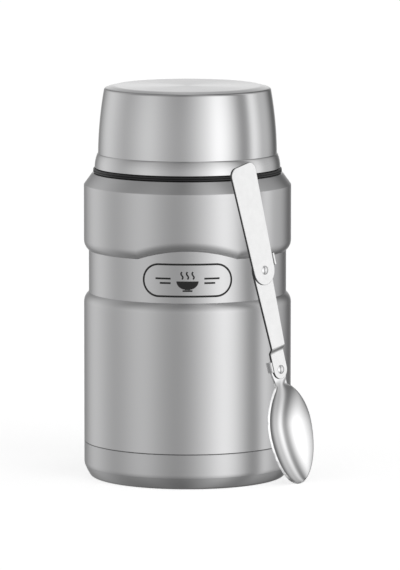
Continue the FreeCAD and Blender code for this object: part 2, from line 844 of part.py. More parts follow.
def rivet(label, back, front):
    """A shaft with a round head on each side of the two plates that it joins."""
    head_height = size("rivet_head_height")
    head_radius = size("rivet_head_radius")
    body = new_body(label)
    dome = head_height / 2
    revolve(body, label + "_turned", [
        (ZERO, back - head_height),
        (head_radius - dome, back - head_height),
        (head_radius, back - head_height + dome),
        (head_radius, back),
        (rivet_radius, back),
        (rivet_radius, front),
        (head_radius, front),
        (head_radius, front + head_height - dome),
        (head_radius - dome, front + head_height),
        (ZERO, front + head_height),
    ])
    return body


lower_rivet = rivet("lower_rivet", -sheet_metal, mid_front + spoon_gap / 2)
upper_rivet = rivet("upper_rivet", upper_back, handle_front + spoon_gap / 2)

# where the spoon leans on the jar: its face looks to the front right, and the handle's
# back touches the flask at its shoulder edge while the bowl's tip stands on the ground

turn = math.radians(DRIVING_SIZES["spoon_turn"])
lean = math.radians(DRIVING_SIZES["spoon_lean"])
roll = math.radians(DRIVING_SIZES["spoon_roll"])
outwards = FreeCAD.Vector(math.sin(turn), -math.cos(turn), 0)
sideways = FreeCAD.Vector(math.cos(turn), math.sin(turn), 0)
upwards = FreeCAD.Vector(0, 0, 1)
face = outwards * math.cos(lean) + upwards * math.sin(lean)
uphill = upwards * math.cos(lean) - outwards * math.sin(lean)
spoon_up = uphill * math.cos(roll) - sideways * math.sin(roll)
spoon_across = sideways * math.cos(roll) + uphill * math.sin(roll)
tip_reach = math.sqrt(
    (tip_length.value * spoon_up.z) ** 2
    + (bowl_half_width.value * spoon_across.z) ** 2
    + (hollow_depth.value * face.z) ** 2
)
rivet_height = tip_reach - bowl_centre.value * spoon_up.z
contact = outwards * (body_radius.value + DRIVING_SIZES["spoon_jar_gap"]) + upwards * shoulder_edge.value
rivet_distance = (
    contact.dot(face) - handle_back.value - rivet_height * face.z
) / math.cos(lean)
rivet_point = (
    outwards * rivet_distance
    + sideways * DRIVING_SIZES["spoon_side_offset"]
    + upwards * rivet_height
)
spoon_frame = FreeCAD.Matrix(
    spoon_across.x, spoon_up.x, face.x, rivet_point.x,
    spoon_across.y, spoon_up.y, face.y, rivet_point.y,
    spoon_across.z, spoon_up.z, face.z, rivet_point.z,
    0, 0, 0, 1,
)
spoon_placement = FreeCAD.Placement(spoon_frame)

for piece in (spoon_head, spoon_mid_link, spoon_handle, lower_rivet):
    piece.Placement = spoon_placement
upper_shift = FreeCAD.Placement(FreeCAD.Vector(0, mid_length.value, 0), FreeCAD.Rotation())
upper_rivet.Placement = spoon_placement.multiply(upper_shift)

doc.recompute()

PIECES = (
    outer_shell, inner_flask, vacuum_base, seal_plug, getter, foil_wrap, base_cap,
    stopper_gasket, stopper_shell, stopper_plug, stopper_foam,
    lid_seat_ring, bowl_shell, bowl_liner, bowl_thread_ring,
    spoon_head, spoon_mid_link, spoon_handle, lower_rivet, upper_rivet,
)

for item in doc.Objects:
    if "Invalid" in item.State or "Error" in item.State:
        raise RuntimeError("%s failed: %s" % (item.Name, item.State))
for piece in PIECES:
    if piece.Shape.isNull() or not piece.Shape.isValid() or not piece.Shape.Solids:
        raise RuntimeError("%s has no sound shape" % piece.Label)

os.makedirs("parts", exist_ok=True)
for piece in PIECES:
    piece.Shape.exportStep(os.path.join("parts", piece.Label + ".step"))
    print("%-18s solids %d volume %.1f" % (piece.Label, len(piece.Shape.Solids), piece.Shape.Volume))
lower_axis = spoon_placement.multVec(FreeCAD.Vector(0, 0, 0))
upper_axis = spoon_placement.multVec(FreeCAD.Vector(0, mid_length.value, 0))
print("lower rivet", lower_axis, "upper rivet", upper_axis, "axis", face)
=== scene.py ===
import json
import math

import bmesh
import bpy
from mathutils import Matrix, Vector


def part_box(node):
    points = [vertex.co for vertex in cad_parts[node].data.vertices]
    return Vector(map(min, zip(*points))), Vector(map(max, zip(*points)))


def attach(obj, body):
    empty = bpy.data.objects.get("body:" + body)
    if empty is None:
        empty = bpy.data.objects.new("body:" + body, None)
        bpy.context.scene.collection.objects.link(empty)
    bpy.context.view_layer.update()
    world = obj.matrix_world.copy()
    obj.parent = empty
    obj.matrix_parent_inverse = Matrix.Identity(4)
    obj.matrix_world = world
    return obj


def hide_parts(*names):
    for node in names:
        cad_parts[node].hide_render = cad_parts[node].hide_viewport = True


# Looks of an insulated food jar with a serving bowl and a folding spoon. Lengths are in
# millimetres here and turned to metres as each mesh is made. The front faces -Y.

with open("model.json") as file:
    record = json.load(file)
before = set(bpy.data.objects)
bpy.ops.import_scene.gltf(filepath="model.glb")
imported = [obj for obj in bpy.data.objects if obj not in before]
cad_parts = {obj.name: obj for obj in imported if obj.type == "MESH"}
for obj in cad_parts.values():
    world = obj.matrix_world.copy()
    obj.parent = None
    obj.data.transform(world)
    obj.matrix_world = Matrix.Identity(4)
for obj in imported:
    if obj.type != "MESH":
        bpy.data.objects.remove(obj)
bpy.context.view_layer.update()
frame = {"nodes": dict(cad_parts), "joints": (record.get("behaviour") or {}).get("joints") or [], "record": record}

MM = 0.001
TURN_STEPS = 240
SHARP_ANGLE = math.radians(28)

# photograph: where its frame sees the jar
PHOTO_HEIGHT = 570
FOCAL_PIXELS = 5680
SENSOR = 36.0
CAMERA_DISTANCE = 2.8
CAMERA_ELEVATION = math.radians(7.168)
AIM_HEIGHT = 0.096
AXIS_LEFT_PIXELS = 12.5
AIM_UP_PIXELS = 3.3

# flask
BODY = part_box("base_cap")[1].x / MM
WALL = 0.6
SLEEVE_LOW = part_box("outer_shell")[0].z / MM
FOOT = 47.0
FOOT_BEVEL = 48.3
FOOT_BEVEL_HEIGHT = 0.9
FOOT_CREASE = 50.65
FOOT_CREASE_HEIGHT = 5.6
FOOT_CURVE_HEIGHT = 7.5
FOOT_CURVE = 10.4
CAP_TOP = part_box("base_cap")[1].z / MM
SEAM = 0.25
BEAD_DEPTH = 2.4
BEAD_HEIGHT = 5.0
BEAD_CURVE = (BEAD_HEIGHT**2 + BEAD_DEPTH**2) / (2 * BEAD_DEPTH)
BELT = BODY - BEAD_DEPTH
LOWER_BEAD = 86.4
BELT_LOW = LOWER_BEAD + BEAD_HEIGHT
BELT_HEIGHT = 20.9
BELT_HIGH = BELT_LOW + BELT_HEIGHT
BAND_LOW = BELT_HIGH + BEAD_HEIGHT
SHOULDER_EDGE = 144.5
SHOULDER_TOP = 150.3
SHOULDER_SLOPE = 4.2
SHOULDER = BODY - SHOULDER_SLOPE
NECK = 39.0
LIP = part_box("inner_flask")[1].z / MM
LIP_WALL = 0.5
ARCH_HALF = 25.2
ARCH_RISE = 4.4
ARCH_CURVE = (ARCH_HALF**2 + ARCH_RISE**2) / (2 * ARCH_RISE)

# threads, which all rise alike in a turn and run out over a few steps at each end
THREAD_LEAD = 12.0
THREAD_STARTS = 4
THREAD_ROOT = 0.08
THREAD_RUN_OUT = 10
SKIRT_BORE = 39.8
STOPPER = 41.8
BOWL_BORE = 42.2

# printed mark on the belt's front
MARK_HEIGHT = 102.6
MARK_HALF_LENGTH = 22.0
MARK_HALF_HEIGHT = 7.8
MARK_LINE = 0.95
MARK_RELIEF = 0.03
MARK_ROOT = 0.1
MARK_BOWL_HALF = 5.4
MARK_BOWL_DEPTH = 4.2
MARK_BOWL_ROWS = 14
MARK_FOOT_HALF = 2.4
STEAM_SPACING = 2.7
STEAM_SWAY = 0.45
STEAM_HEIGHT = 3.6
BAR_START = 8.2
BAR_LENGTHS = (7.6, 5.4)
BAR_SPACING = 2.2

# serving bowl
BOWL_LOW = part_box("bowl_shell")[0].z / MM
BOWL_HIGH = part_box("bowl_shell")[1].z / MM
BOWL_WALL = 0.5
RIM_HEIGHT = 6.8
RIM_CURVE = 18.0
SIDE_CURVE = 190.0
CHAMFER_HEIGHT = 1.3


def arc(start, end, radius, turn, steps=10):
    """Points from start to end on an arc; turn 1 runs anticlockwise, -1 clockwise."""
    run_x = end[0] - start[0]
    run_y = end[1] - start[1]
    chord = math.hypot(run_x, run_y)
    rise = math.sqrt(max(radius**2 - (chord / 2) ** 2, 0))
    centre_x = (start[0] + end[0]) / 2 - turn * rise * run_y / chord
    centre_y = (start[1] + end[1]) / 2 + turn * rise * run_x / chord
    first = math.atan2(start[1] - centre_y, start[0] - centre_x)
    sweep = 2 * math.asin(min(1, chord / (2 * radius))) * turn
    points = []
    for step in range(steps + 1):
        angle = first + sweep * step / steps
        points.append((centre_x + radius * math.cos(angle), centre_y + radius * math.sin(angle)))
    return points


def rounded(corners, steps=4):
    """An outline whose corners (x, y, radius) are rounded; (x, y) stays sharp."""
    points = []
    count = len(corners)
    for index, corner in enumerate(corners):
        if len(corner) == 2 or corner[2] == 0:
            points.append((corner[0], corner[1]))
            continue
        here = Vector(corner[:2])
        before = Vector(corners[index - 1][:2]) - here
        after = Vector(corners[(index + 1) % count][:2]) - here
        half = before.angle(after) / 2
        reach = corner[2] / math.tan(half)
        reach = min(reach, before.length * 0.49, after.length * 0.49)
        start = here + before.normalized() * reach
        end = here + after.normalized() * reach
        for step in range(steps + 1):
            part = step / steps
            blend = (1 - part) ** 2 * start + 2 * part * (1 - part) * here + part**2 * end
            points.append((blend.x, blend.y))
    return points


def finish_mesh(name, bm, body, slot, node=None, sharp=SHARP_ANGLE, look=None):
    """A smooth-shaded object from a bmesh in millimetres, riding on a body.

    Its material is the slot's own one, or the one named by look.
    """
    bmesh.ops.remove_doubles(bm, verts=bm.verts, dist=1e-5)
    bmesh.ops.recalc_face_normals(bm, faces=bm.faces)
    mesh = bpy.data.meshes.new(name)
    bm.to_mesh(mesh)
    bm.free()
    mesh.transform(Matrix.Scale(MM, 4))
    mesh.polygons.foreach_set("use_smooth", [True] * len(mesh.polygons))
    mesh.set_sharp_from_angle(angle=sharp)
    piece = bpy.data.objects.new(name, mesh)
    bpy.context.scene.collection.objects.link(piece)
    piece.data.materials.append(materials[look or slot])
    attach(piece, body)
    if node:
        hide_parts(*([node] if isinstance(node, str) else node))
    return piece


def turned(outline, angles=None, lift=None):
    """A bmesh of a closed (radius, height) outline turned about the jar's axis."""
    if angles is None:
        angles = [2 * math.pi * step / TURN_STEPS for step in range(TURN_STEPS)]
    bm = bmesh.new()
    rings = []
    for radius, height in outline:
        if radius < 1e-6:
            rings.append([bm.verts.new((0, 0, height))])
            continue
        ring = []
        for angle in angles:
            up = lift(radius, height, angle) if lift else 0
            ring.append(on_cylinder(bm, radius, angle, height + up))
        rings.append(ring)
    count = len(angles)
    for index, ring in enumerate(rings):
        follower = rings[(index + 1) % len(rings)]
        if len(ring) == 1 and len(follower) == 1:
            continue
        for step in range(count):
            after = (step + 1) % count
            if len(ring) == 1:
                bm.faces.new((ring[0], follower[step], follower[after]))
            elif len(follower) == 1:
                bm.faces.new((ring[step], follower[0], ring[after]))
            else:
                bm.faces.new((ring[step], follower[step], follower[after], ring[after]))
    return bm


def on_cylinder(bm, radius, angle, height):
    """A new vertex at an angle from the front, at a radius and height."""
    return bm.verts.new((radius * math.sin(angle), -radius * math.cos(angle), height))


def skin_between(bm, first, second):
    """Four faces between two rows of four vertices."""
    for side in range(4):
        after = (side + 1) % 4
        bm.faces.new((first[side], first[after], second[after], second[side]))


def arch_angles():
    """Angles round the jar, closer together over the arch, with one at each of its ends."""
    end = math.asin(ARCH_HALF / BODY)
    inside = 72
    outside = TURN_STEPS
    angles = [-end + 2 * end * step / inside for step in range(inside)]
    angles += [end + (2 * math.pi - 2 * end) * step / outside for step in range(outside)]
    return angles


def arch_lift(radius, height, angle):
    """How far the arch raises a point of the belt's upper edge or the band over it."""
    across = BODY * math.sin(angle)
    if abs(across) > ARCH_HALF or math.cos(angle) < 0:
        return 0
    rise = math.sqrt(ARCH_CURVE**2 - across**2) - (ARCH_CURVE - ARCH_RISE)
    if height <= BELT_LOW + 1 or height >= SHOULDER_EDGE - 1:
        return 0
    if height < BELT_HIGH:
        return rise * (height - BELT_LOW - 1) / (BELT_HIGH - BELT_LOW - 1)
    if height <= BAND_LOW:
        return rise
    return rise * (SHOULDER_EDGE - 1 - height) / (SHOULDER_EDGE - 1 - BAND_LOW)


def steps_between(start, end, count):
    """Points strictly between two outline points."""
    return [
        (start[0] + (end[0] - start[0]) * i / count, start[1] + (end[1] - start[1]) * i / count)
        for i in range(1, count)
    ]


# materials


def new_material(name, base, metallic, roughness):
    """A principled material; returns it with its nodes, links and shader."""
    material = bpy.data.materials.new(name)
    material.use_nodes = True
    nodes = material.node_tree.nodes
    shader = nodes["Principled BSDF"]
    shader.inputs["Base Color"].default_value = (*base, 1)
    shader.inputs["Metallic"].default_value = metallic
    shader.inputs["Roughness"].default_value = roughness
    return material, nodes, material.node_tree.links, shader


def object_position(nodes, links, scale):
    """Position on the object, stretched by a scale."""
    place = nodes.new("ShaderNodeTexCoord")
    mapping = nodes.new("ShaderNodeMapping")
    mapping.inputs["Scale"].default_value = scale
    links.new(place.outputs["Object"], mapping.inputs["Vector"])
    return mapping.outputs["Vector"]


def noise(nodes, links, vector, scale, detail=4.0, rough=0.6):
    """A noise texture's factor."""
    texture = nodes.new("ShaderNodeTexNoise")
    texture.inputs["Scale"].default_value = scale
    texture.inputs["Detail"].default_value = detail
    texture.inputs["Roughness"].default_value = rough
    links.new(vector, texture.inputs["Vector"])
    return texture.outputs["Fac"]


def spread(nodes, links, value, low, high):
    """The value from 0 to 1 laid over low to high."""
    reach = nodes.new("ShaderNodeMapRange")
    reach.inputs["To Min"].default_value = low
    reach.inputs["To Max"].default_value = high
    links.new(value, reach.inputs["Value"])
    return reach.outputs["Result"]


def bump(nodes, links, shader, height, strength, distance):
    """Small relief on the surface."""
    relief = nodes.new("ShaderNodeBump")
    relief.inputs["Strength"].default_value = strength
    relief.inputs["Distance"].default_value = distance
    links.new(height, relief.inputs["Height"])
    links.new(relief.outputs["Normal"], shader.inputs["Normal"])


def brushed_steel(name, base, roughness, anisotropy, grain, across=(1, 1, 60)):
    """Steel brushed round the jar's axis, with fine streaks along the brushing."""
    material, nodes, links, shader = new_material(name, base, 1.0, roughness)
    shader.inputs["Anisotropic"].default_value = anisotropy
    shader.inputs["Anisotropic Rotation"].default_value = 0.25
    tangent = nodes.new("ShaderNodeTangent")
    tangent.direction_type = "RADIAL"
    tangent.axis = "Z"
    links.new(tangent.outputs["Tangent"], shader.inputs["Tangent"])
    vector = object_position(nodes, links, across)
    streaks = noise(nodes, links, vector, 90.0)
    rough = spread(nodes, links, streaks, roughness - grain, roughness + grain)
    links.new(rough, shader.inputs["Roughness"])
    bump(nodes, links, shader, streaks, 0.08, 0.00002)
    return material


def plastic(name, base, roughness, grain_scale, grain_depth):
    """Moulded plastic or rubber with a fine spark texture."""
    material, nodes, links, shader = new_material(name, base, 0.0, roughness)
    vector = object_position(nodes, links, (1, 1, 1))
    grain = noise(nodes, links, vector, grain_scale, 2.0)
    rough = spread(nodes, links, grain, roughness - 0.06, roughness + 0.06)
    links.new(rough, shader.inputs["Roughness"])
    bump(nodes, links, shader, grain, 0.25, grain_depth)
    return material


def polished_steel(name, base, roughness):
    """Polished steel with faint rubbing marks."""
    material, nodes, links, shader = new_material(name, base, 1.0, roughness)
    vector = object_position(nodes, links, (1, 1, 1))
    marks = noise(nodes, links, vector, 320.0, 6.0)
    rough = spread(nodes, links, marks, roughness * 0.7, roughness * 1.4)
    links.new(rough, shader.inputs["Roughness"])
    return material


materials = {
    "brushed_steel": brushed_steel("brushed_steel", (0.625, 0.625, 0.63), 0.30, 0.75, 0.02),
    # a darker copy of the body's steel for the base cap: painted shade towards the floor
    "cap_steel_painted_shade": brushed_steel("cap_steel_painted_shade", (0.575, 0.575, 0.58), 0.30, 0.75, 0.02),
    "bowl_steel": brushed_steel("bowl_steel", (0.66, 0.66, 0.665), 0.17, 0.75, 0.02),
    "inner_steel": brushed_steel("inner_steel", (0.62, 0.62, 0.625), 0.30, 0.4, 0.04),
    "spoon_steel": polished_steel("spoon_steel", (0.86, 0.86, 0.865), 0.07),
    "spoon_satin": polished_steel("spoon_satin", (0.90, 0.90, 0.90), 0.20),
    # nearly black steel for the spoon strips' sides: painted shade along their edges
    "strip_side_painted_shade": polished_steel("strip_side_painted_shade", (0.10, 0.10, 0.10), 0.35),
    "rivet_steel": polished_steel("rivet_steel", (0.80, 0.80, 0.805), 0.14),
    "seal_glass": plastic("seal_glass", (0.30, 0.34, 0.32), 0.15, 400, 0.00002),
    "getter_metal": polished_steel("getter_metal", (0.45, 0.45, 0.46), 0.5),
    "copper_foil": polished_steel("copper_foil", (0.72, 0.42, 0.28), 0.3),
    "silicone": plastic("silicone", (0.70, 0.71, 0.70), 0.45, 900, 0.00001),
    "black_plastic": plastic("black_plastic", (0.018, 0.018, 0.019), 0.38, 2400, 0.00003),
    "plug_plastic": plastic("plug_plastic", (0.025, 0.025, 0.027), 0.33, 1500, 0.00002),
    "foam": plastic("foam", (0.86, 0.84, 0.78), 0.85, 700, 0.0002),
    "black_ring": plastic("black_ring", (0.005, 0.005, 0.006), 0.34, 1800, 0.00001),
    # near-black ring in the base cap's seam: painted shadow
    "seam_painted_shadow": plastic("seam_painted_shadow", (0.012, 0.012, 0.012), 0.60, 1800, 0.00001),
    "black_print": plastic("black_print", (0.006, 0.006, 0.006), 0.55, 3000, 0.000002),
}
for node, part in frame["nodes"].items():
    slot = next(s["material_slot"] for s in frame["record"]["subparts"] if s["node"] == node)
    part.data.materials.clear()
    part.data.materials.append(materials[slot])
    part.data.polygons.foreach_set("use_smooth", [True] * len(part.data.polygons))
    part.data.set_sharp_from_angle(angle=SHARP_ANGLE)


# flask


def make_outer_shell():
    """The steel wall from the sleeve in the base cap up to the neck."""
    sleeve = BODY - WALL
    outside = [(sleeve, SLEEVE_LOW), (sleeve, CAP_TOP + SEAM), (BODY - 0.15, CAP_TOP + SEAM)]
    outside += [(BODY, CAP_TOP + SEAM + 0.15)]
    outside += steps_between((BODY, CAP_TOP + 1), (BODY, LOWER_BEAD), 4)
    outside += arc((BODY, LOWER_BEAD), (BELT, BELT_LOW), BEAD_CURVE, 1, 12)
    outside += steps_between((BELT, BELT_LOW), (BELT, BELT_HIGH), 8)
    outside += arc((BELT, BELT_HIGH), (BODY, BAND_LOW), BEAD_CURVE, 1, 12)
    outside += steps_between((BODY, BAND_LOW), (BODY, SHOULDER_EDGE), 8)
    top = [
        (BODY, SHOULDER_EDGE - 2),
        (BODY, SHOULDER_EDGE, 0.9),
        (SHOULDER, SHOULDER_TOP, 0.5),
        (NECK, SHOULDER_TOP, 1.0),
        (NECK, LIP - LIP_WALL),
    ]
    outside += rounded(top + [(NECK - WALL, LIP - LIP_WALL)])[:-1]
    inside = [(NECK - WALL, LIP - LIP_WALL)]
    inside += [(NECK - WALL, SHOULDER_TOP - WALL), (SHOULDER - WALL / 2, SHOULDER_TOP - WALL)]
    inside += [(BODY - WALL, SHOULDER_EDGE - WALL / 2)]
    inside += steps_between((BODY - WALL, SHOULDER_EDGE), (BODY - WALL, BAND_LOW), 8)
    inside += arc((BODY - WALL, BAND_LOW), (BELT - WALL, BELT_HIGH), BEAD_CURVE + WALL, -1, 12)
    inside += steps_between((BELT - WALL, BELT_HIGH), (BELT - WALL, BELT_LOW), 8)
    inside += arc((BELT - WALL, BELT_LOW), (BODY - WALL, LOWER_BEAD), BEAD_CURVE + WALL, -1, 12)
    inside += [(BODY - WALL, CAP_TOP + SEAM + WALL), (sleeve - WALL, CAP_TOP + SEAM + WALL)]
    inside += [(sleeve - WALL, SLEEVE_LOW)]
    bm = turned(outside + inside, arch_angles(), arch_lift)
    finish_mesh("jar_wall", bm, "flask", "brushed_steel", "outer_shell", math.radians(12))


def make_base_cap():
    """The cup round the jar's bottom, with its curved foot."""
    outline = [(0, 0)]
    outline += [(FOOT * share, 0) for share in (0.3, 0.6, 0.85, 0.97)]
    outline += arc((FOOT, 0), (FOOT_BEVEL, FOOT_BEVEL_HEIGHT), 2.4, 1, 6)
    outline += arc((FOOT_BEVEL, FOOT_BEVEL_HEIGHT), (FOOT_CREASE, FOOT_CREASE_HEIGHT), 24.0, 1, 6)[1:]
    outline += arc((FOOT_CREASE + 0.08, FOOT_CREASE_HEIGHT + 0.1), (BODY, FOOT_CURVE_HEIGHT), 6.8, 1, 6)
    outline += [(BODY, CAP_TOP - 6), (BODY, CAP_TOP - 0.2), (BODY - 0.2, CAP_TOP)]
    outline += [(BODY - WALL, CAP_TOP)]
    outline += arc((BODY - WALL, FOOT_CURVE_HEIGHT), (FOOT, WALL), FOOT_CURVE - WALL, -1, 8)
    outline += [(0, WALL)]
    bm = turned(outline)
    # the base cap takes the darker copy of the steel: painted shade near the floor
    finish_mesh("jar_base", bm, "flask", "brushed_steel", "base_cap", math.radians(14), "cap_steel_painted_shade")


def make_seam():
    """A near-black ring in the seam over the base cap: painted shadow in the seam's gap."""
    inner = BODY - WALL - 0.02
    outer = BODY - 0.28
    outline = [(inner, CAP_TOP), (outer, CAP_TOP), (outer, CAP_TOP + SEAM), (inner, CAP_TOP + SEAM)]
    # the ring's near-black colour is painted shadow in the seam
    finish_mesh("jar_seam_shadow", turned(outline), "flask", "brushed_steel", look="seam_painted_shadow")


def belt_ribbon(bm, line, width, closed=False):
    """A thin raised line round the belt's front; its points are (across, height)."""
    count = len(line)
    rims = []
    for index in range(count):
        before = Vector(line[index - 1] if closed or index else line[0])
        after = Vector(line[(index + 1) % count] if closed or index < count - 1 else line[-1])
        along = (after - before).normalized()
        side = Vector((-along.y, along.x)) * width / 2
        here = Vector(line[index])
        root = BELT - MARK_ROOT
        top = BELT + MARK_RELIEF
        corners = []
        for radius, shift in ((root, side), (top, side), (top, -side), (root, -side)):
            across, height = here + shift
            corners.append(on_cylinder(bm, radius, across / BELT, height))
        rims.append(corners)
    pairs = list(zip(rims, rims[1:]))
    if closed:
        pairs.append((rims[-1], rims[0]))
    for first, second in pairs:
        skin_between(bm, first, second)
    if not closed:
        bm.faces.new(rims[0])
        bm.faces.new(rims[-1][::-1])


def make_belt_mark():
    """A plain printed mark on the belt's front: a ring round a steaming bowl and bars."""
    bm = bmesh.new()
    straight = MARK_HALF_LENGTH - MARK_HALF_HEIGHT
    ring = []
    for index in range(49):
        angle = -math.pi / 2 + math.pi * index / 48
        across = straight + MARK_HALF_HEIGHT * math.cos(angle)
        ring.append((across, MARK_HEIGHT + MARK_HALF_HEIGHT * math.sin(angle)))
    ring += steps_between(ring[-1], (-ring[-1][0], ring[-1][1]), 40)
    ring += [(-across, 2 * MARK_HEIGHT - height) for across, height in ring]
    belt_ribbon(bm, ring, MARK_LINE, closed=True)
    rim = MARK_HEIGHT - 0.4
    for row in range(MARK_BOWL_ROWS):
        depth = MARK_BOWL_DEPTH * (row + 0.5) / MARK_BOWL_ROWS
        half = MARK_BOWL_HALF * math.sqrt(1 - (depth / MARK_BOWL_DEPTH) ** 2)
        line = [(-half + 2 * half * step / 24, rim - depth) for step in range(25)]
        belt_ribbon(bm, line, MARK_BOWL_DEPTH / MARK_BOWL_ROWS * 1.02)
    foot_height = rim - MARK_BOWL_DEPTH - 0.5
    foot = [(MARK_FOOT_HALF * (step / 6 - 1), foot_height) for step in range(13)]
    belt_ribbon(bm, foot, 0.8)
    for place in (-STEAM_SPACING, 0, STEAM_SPACING):
        steam = []
        for step in range(17):
            sway = STEAM_SWAY * math.sin(2 * math.pi * step / 16)
            steam.append((place + sway, rim + 1.0 + STEAM_HEIGHT * step / 16))
        belt_ribbon(bm, steam, 0.75)
    for side in (-1, 1):
        for step, reach in enumerate(BAR_LENGTHS):
            height = MARK_HEIGHT + 0.9 - BAR_SPACING * step
            bar = [(side * (BAR_START + reach * part / 10), height) for part in range(11)]
            belt_ribbon(bm, bar, 0.9)
    finish_mesh("belt_mark", bm, "flask", "brushed_steel", look="black_print")


def make_seat_ring():
    """The black ring that the serving bowl seats on, with a lip round the stopper's skirt."""
    low, high = (corner.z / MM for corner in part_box("lid_seat_ring"))
    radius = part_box("lid_seat_ring")[1].x / MM
    inner = BOWL_BORE
    middle = (low + high) / 2
    skirt_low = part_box("stopper_shell")[0].z / MM
    outline = rounded([
        (inner, low),
        (radius - 0.5, low, 0.2),
        (radius, low + 0.5, 0.3),
        (radius, middle - 0.1, 0.1),
        (radius - 0.35, middle, 0.1),
        (radius - 0.35, middle + 0.15, 0.1),
        (radius, middle + 0.3, 0.1),
        (radius - 0.1, high - 0.3, 0.3),
        (radius - 0.7, high, 0.3),
        (inner, high),
        (inner - 0.1, high + 0.1),
        (inner - 0.1, skirt_low + 0.6),
        (inner - 0.32, skirt_low + 0.6),
        (inner - 0.32, high - 0.4),
        (inner, high - 0.8),
    ])
    finish_mesh("seat_ring", turned(outline), "seat_ring", "black_ring", "lid_seat_ring")


def make_serving_bowl():
    """The bowl's outer skin: flared rim, step, long curved side and chamfered top."""
    rim = 45.7
    waist = 44.3
    rim_top = BOWL_LOW + RIM_HEIGHT
    step = 44.15
    top = 41.1
    flat = 36.0
    chamfer = BOWL_HIGH - CHAMFER_HEIGHT
    outside = [(rim - BOWL_WALL, BOWL_LOW), (rim - 0.15, BOWL_LOW)]
    outside += arc((rim, BOWL_LOW + 0.15), (waist + 0.12, rim_top - 0.2), RIM_CURVE, 1, 12)
    outside += [(waist - 0.1, rim_top + 0.1)]
    outside += arc((step - 0.15, rim_top + 0.25), (top, chamfer - 0.9), SIDE_CURVE, 1, 20)
    outside += arc((top, chamfer - 0.9), (top - 1.1, chamfer + 0.35), 1.4, 1, 6)[1:]
    outside += steps_between((top - 1.1, chamfer + 0.35), (flat, BOWL_HIGH), 3)
    outside += [(flat, BOWL_HIGH), (flat - 0.8, BOWL_HIGH), (flat * 0.8, BOWL_HIGH)]
    outside += [(flat * 0.4, BOWL_HIGH), (0, BOWL_HIGH)]
    inside = [(0, BOWL_HIGH - BOWL_WALL), (flat, BOWL_HIGH - BOWL_WALL)]
    inside += arc((top - BOWL_WALL, chamfer - 0.5), (step - BOWL_WALL, rim_top), SIDE_CURVE, -1, 12)
    foot = (rim - BOWL_WALL, BOWL_LOW + 0.3)
    inside += arc((waist - BOWL_WALL, rim_top - 0.3), foot, RIM_CURVE, -1, 6)
    bm = turned(outside + inside)
    finish_mesh("serving_bowl", bm, "serving_bowl", "bowl_steel", "bowl_shell", math.radians(20))


def make_thread(name, radius, relief, low, high, width, offset, body, slot, look=None):
    """Right-handed ridges round the jar's axis; a negative relief points inwards."""
    bm = bmesh.new()
    steps = int(TURN_STEPS * (high - low) / THREAD_LEAD)
    root = radius - math.copysign(THREAD_ROOT, relief)
    for start in range(THREAD_STARTS):
        rows = []
        for step in range(steps + 1):
            height = low + (high - low) * step / steps
            angle = 2 * math.pi * (height / THREAD_LEAD + (start + offset) / THREAD_STARTS)
            crest = radius + relief * min(1, step / THREAD_RUN_OUT, (steps - step) / THREAD_RUN_OUT)
            profile = ((root, -width / 2), (crest, -width / 4), (crest, width / 4), (root, width / 2))
            rows.append([on_cylinder(bm, reach, angle, height + rise) for reach, rise in profile])
        for first, second in zip(rows, rows[1:]):
            skin_between(bm, first, second)
        bm.faces.new(rows[0])
        bm.faces.new(rows[-1][::-1])
    finish_mesh(name, bm, body, slot, look=look)


def make_threads():
    """The neck's and the stopper's threads and the ones that run on them."""
    skirt_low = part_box("stopper_shell")[0].z / MM
    ring_low, ring_high = (corner.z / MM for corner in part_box("bowl_thread_ring"))
    make_thread("neck_thread", NECK, 0.6, skirt_low + 1.6, LIP - 2.6, 1.2, 0, "flask", "brushed_steel")
    make_thread("skirt_thread", SKIRT_BORE, -0.55, skirt_low + 0.8, skirt_low + 9, 1.2, 0.5,
                "stopper", "black_plastic")
    make_thread("stopper_thread", STOPPER, 0.3, skirt_low + 1.2, LIP - 1.6, 1.0, 0,
                "stopper", "black_plastic")
    make_thread("bowl_thread", BOWL_BORE, -0.3, ring_low + 1.7, ring_high - 0.7, 1.0, 0.5,
                "serving_bowl", "black_plastic")


make_outer_shell()
make_threads()
make_base_cap()
make_seam()
make_belt_mark()
make_seat_ring()
make_serving_bowl()


# spoon: X is across it, Y runs up its handle, Z is out of its hollow side

joints = {joint["name"]: joint for joint in frame["joints"]}
LOWER_PIVOT = Vector(joints["spoon_mid_fold"]["pos_m"])
UPPER_PIVOT = Vector(joints["spoon_handle_fold"]["pos_m"])
FACE = Vector(joints["spoon_handle_fold"]["axis"]).normalized()
UPHILL = (UPPER_PIVOT - LOWER_PIVOT).normalized()
ACROSS = UPHILL.cross(FACE)
SPOON = Matrix((
    (ACROSS.x, UPHILL.x, FACE.x, LOWER_PIVOT.x / MM),
    (ACROSS.y, UPHILL.y, FACE.y, LOWER_PIVOT.y / MM),
    (ACROSS.z, UPHILL.z, FACE.z, LOWER_PIVOT.z / MM),
    (0, 0, 0, 1),
))
SHEET = 1.4
GAP = 0.2
JOGGLE = 1.8
MID_LENGTH = (UPPER_PIVOT - LOWER_PIVOT).length / MM
MID_BACK = GAP
MID_FRONT = MID_BACK + SHEET
UPPER_BACK = MID_BACK + JOGGLE
UPPER_FRONT = UPPER_BACK + SHEET
HANDLE_BACK = UPPER_FRONT + GAP
HANDLE_FRONT = HANDLE_BACK + SHEET
HANDLE_LENGTH = 53.0
HANDLE_LOWER = 7.3
HANDLE_UPPER = 8.8
HANDLE_CORNER = 4.2
MID_LOWER = 4.7
MID_UPPER = 6.3
JOGGLE_START = 8.8
JOGGLE_RUN = 3.0
TAB_LENGTH = 6.0
TAB_WIDTH = 1.3
TAB_GAP = 0.35
TANG = 5.2
NECK_HALF = 3.6
NECK_LENGTH = 8.0
BOWL_HALF = 14.8
BOWL_TIP = 27.0
BOWL_THROAT = 22.5
THROAT_TAPER = 0.64
NECK_BLEND = 6.0
BOWL_DEPTH = 6.4
SPOON_WALL = 1.1
